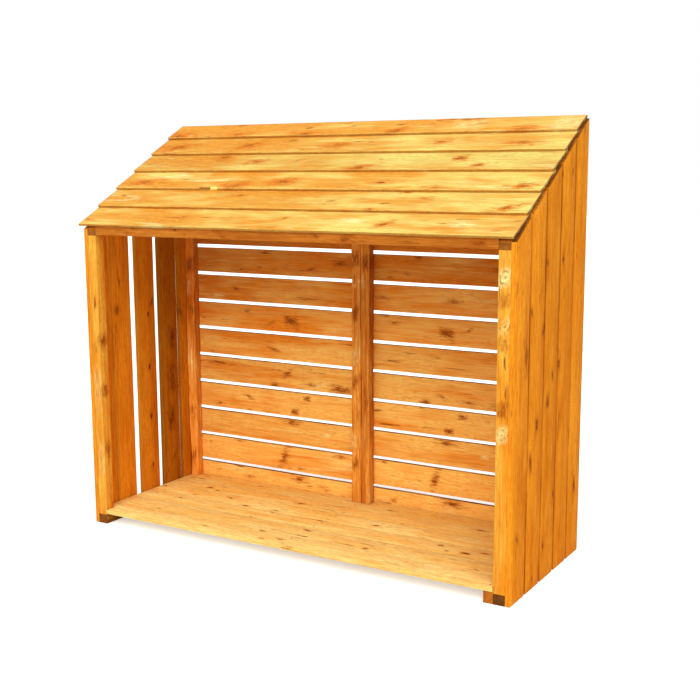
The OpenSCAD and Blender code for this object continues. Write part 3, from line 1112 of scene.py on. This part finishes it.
class LOGSTORE_OT_nails(bpy.types.Operator):
    """Drive the nails of the sides, the back and the floor"""

    bl_idname = "log_store.nails"
    bl_label = "Nails"

    # Distance of a nail from a board's edges and from its sloping top
    edge, below_top = 0.022, 0.03
    corners = 12
    # Share of the head's radius and height over the wood, from the foot of the head to its face
    turned = ((1.0, -0.0006), (1.0, 0.0003), (0.7, 0.0006))

    def execute(self, context):
        metal = nail_metal()
        for name, places in (
                ("side_nails", self.sides()), ("back_nails", self.back()), ("floor_nails", self.floor())):
            heads = bmesh.new()
            for point, out in places:
                self.drive(heads, Vector(point), out)
            heads.normal_update()
            mesh_piece(name, heads, metal)
        return {"FINISHED"}

    def drive(self, heads, point, out):
        """One flat head with a rounded rim, just proud of the wood."""
        turn_out = Matrix.Translation(point) @ out.to_track_quat("Z", "Y").to_matrix().to_4x4()
        rings = []
        for share, height in self.turned:
            circle = bmesh.ops.create_circle(
                heads, segments=self.corners, radius=timber().nail_head / 2 * share,
                matrix=turn_out @ Matrix.Translation((0.0, 0.0, height)))
            rings.append(circle["verts"])
        for lower, upper in zip(rings, rings[1:]):
            for i in range(self.corners):
                heads.faces.new((lower[i - 1], lower[i], upper[i], upper[i - 1]))
        heads.faces.new(reversed(rings[0]))
        heads.faces.new(rings[-1])

    def middle(self, node, axis):
        """Middle of a node along one axis."""
        low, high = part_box(node)
        return (low[axis] + high[axis]) / 2

    def sides(self):
        """Two nails at the bottom rail and two at the top rail in each upright board."""
        slope = up_the_slope("left_top_rail")
        climb = slope.z / slope.y
        for side, out in (("left", -ALONG_X), ("right", ALONG_X)):
            low_z = self.middle(f"{side}_bottom_rail", 2)
            for number in range(1, 6):
                low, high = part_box(f"{side}_side_board_{number}")
                x = low[0] if side == "left" else high[0]
                for y in (low[1] + self.edge, high[1] - self.edge):
                    top = high[2] - climb * (high[1] - y)
                    yield (x, y, low_z), out
                    yield (x, y, top - self.below_top), out

    def back(self):
        """Two nails in each end of every back slat."""
        for side in ("left", "right"):
            uprights = [self.middle(f"{side}_{name}", 0) for name in ("back_post", "middle_stud")]
            for solid in whole_solids(f"{side}_back_slats"):
                heights = [vert.co.z for vert in solid.verts]
                y = max(vert.co.y for vert in solid.verts)
                solid.free()
                for x in uprights:
                    for z in (min(heights) + self.edge, max(heights) - self.edge):
                        yield (x, y, z), ALONG_Y

    def floor(self):
        """Two nails over each bearer in every floor board."""
        for number in range(1, 7):
            low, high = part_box(f"floor_board_{number}")
            for name in BEARERS:
                for y in (low[1] + self.edge, high[1] - self.edge):
                    yield (self.middle(name, 0), y, high[2]), ALONG_Z


class LOGSTORE_OT_stage(bpy.types.Operator):
    """Lay the pale floor, light it softly and set the camera"""

    bl_idname = "log_store.stage"
    bl_label = "Stage"

    # Width of the camera's sensor in millimetres
    sensor = 36.0

    def execute(self, context):
        scene = context.scene
        settings = scene.log_store_stage
        self.lay_floor(scene, settings)
        self.light(scene, settings)
        self.set_camera(scene, settings)
        scene.view_settings.view_transform = "Standard"
        return {"FINISHED"}

    def seen(self, nodes):
        """1 where the camera sees a surface directly, in a gloss or through glass."""
        path = nodes.wires(nodes.add("ShaderNodeLightPath"))
        return path["Is Camera Ray"].at_least(path["Is Glossy Ray"]).at_least(path["Is Transmission Ray"])

    def lay_floor(self, scene, settings):
        """A plain pale floor that looks white but keeps the store's shadow."""
        bm = bmesh.new()
        bmesh.ops.create_grid(bm, x_segments=1, y_segments=1, size=settings.floor_size / 2)
        mesh = bpy.data.meshes.new("stage_floor")
        bm.to_mesh(mesh)
        bm.free()
        floor = bpy.data.objects.new("stage_floor", mesh)
        scene.collection.objects.link(floor)
        material, nodes, shader = new_material("stage_floor")
        nodes.fill(shader, {"Base Color": settings.floor_white, "Roughness": 1.0, "Specular IOR Level": 0.0})
        glow = nodes.add("ShaderNodeEmission", {"Strength": self.seen(nodes) * settings.floor_glow})
        blend = nodes.add("ShaderNodeAddShader", {0: nodes.out(shader), 1: nodes.out(glow)})
        nodes.fill(material.node_tree.nodes["Material Output"], {"Surface": nodes.out(blend)})
        mesh.materials.append(material)

    def light(self, scene, settings):
        """Even light all round, white to the camera, and one broad lamp in front."""
        world = bpy.data.worlds.new("studio")
        world.use_nodes = True
        scene.world = world
        nodes = Nodes(world.node_tree)
        soft = settings.world_light
        nodes.fill(world.node_tree.nodes["Background"], {
            "Color": (1.0, 1.0, 1.0), "Strength": self.seen(nodes) * (1.0 - soft) + soft})
        lamp = bpy.data.lights.new("key", "SUN")
        lamp.energy = settings.key_light
        lamp.angle = settings.key_spread
        key = bpy.data.objects.new("key", lamp)
        key.rotation_euler = (math.pi / 2 - settings.key_height, 0.0, settings.key_side)
        scene.collection.objects.link(key)

    def set_camera(self, scene, settings):
        """A camera at the photograph's place."""
        lens = bpy.data.cameras.new("camera")
        lens.sensor_width = self.sensor
        lens.lens = settings.camera_lens
        camera = bpy.data.objects.new("camera", lens)
        camera.matrix_world = (
            Matrix.Translation(settings.camera_at)
            @ Matrix.Rotation(settings.camera_yaw, 4, "Z")
            @ Matrix.Rotation(math.pi / 2 - settings.camera_pitch, 4, "X")
            @ Matrix.Rotation(settings.camera_roll, 4, "Z"))
        scene.collection.objects.link(camera)
        scene.camera = camera


OPERATORS = (
    LOGSTORE_OT_roof_boards,
    LOGSTORE_OT_side_boards,
    LOGSTORE_OT_front_posts,
    LOGSTORE_OT_rough_posts,
    LOGSTORE_OT_back_slats,
    LOGSTORE_OT_floor_boards,
    LOGSTORE_OT_rails,
    LOGSTORE_OT_nails,
    LOGSTORE_OT_stage,
)


class LOGSTORE_PT_panel(bpy.types.Panel):
    """Lists the steps that make the log store."""

    bl_idname = "LOGSTORE_PT_panel"
    bl_label = "Log Store"
    bl_space_type = "VIEW_3D"
    bl_region_type = "UI"
    bl_category = "Log Store"

    def draw(self, context):
        for operator in OPERATORS:
            self.layout.operator(operator.bl_idname)


SETTINGS = {
    "log_store_timber": LOGSTORE_PG_timber,
    "log_store_stain": LOGSTORE_PG_stain,
    "log_store_stage": LOGSTORE_PG_stage,
}


def register():
    """Make the settings, the operators and the panel known to Blender."""
    for kind in (*SETTINGS.values(), *OPERATORS, LOGSTORE_PT_panel):
        bpy.utils.register_class(kind)
    for name, kind in SETTINGS.items():
        setattr(bpy.types.Scene, name, bpy.props.PointerProperty(type=kind))


def unregister():
    """Take them away again."""
    for name in SETTINGS:
        delattr(bpy.types.Scene, name)
    for kind in (LOGSTORE_PT_panel, *reversed(OPERATORS), *SETTINGS.values()):
        bpy.utils.unregister_class(kind)


def main():
    """Make the log store and its stage."""
    register()
    bpy.ops.log_store.roof_boards()
    bpy.ops.log_store.side_boards()
    bpy.ops.log_store.front_posts()
    bpy.ops.log_store.rough_posts()
    bpy.ops.log_store.back_slats()
    bpy.ops.log_store.floor_boards()
    bpy.ops.log_store.rails()
    bpy.ops.log_store.nails()
    bpy.ops.log_store.stage()


if __name__ == "__main__":
    main()
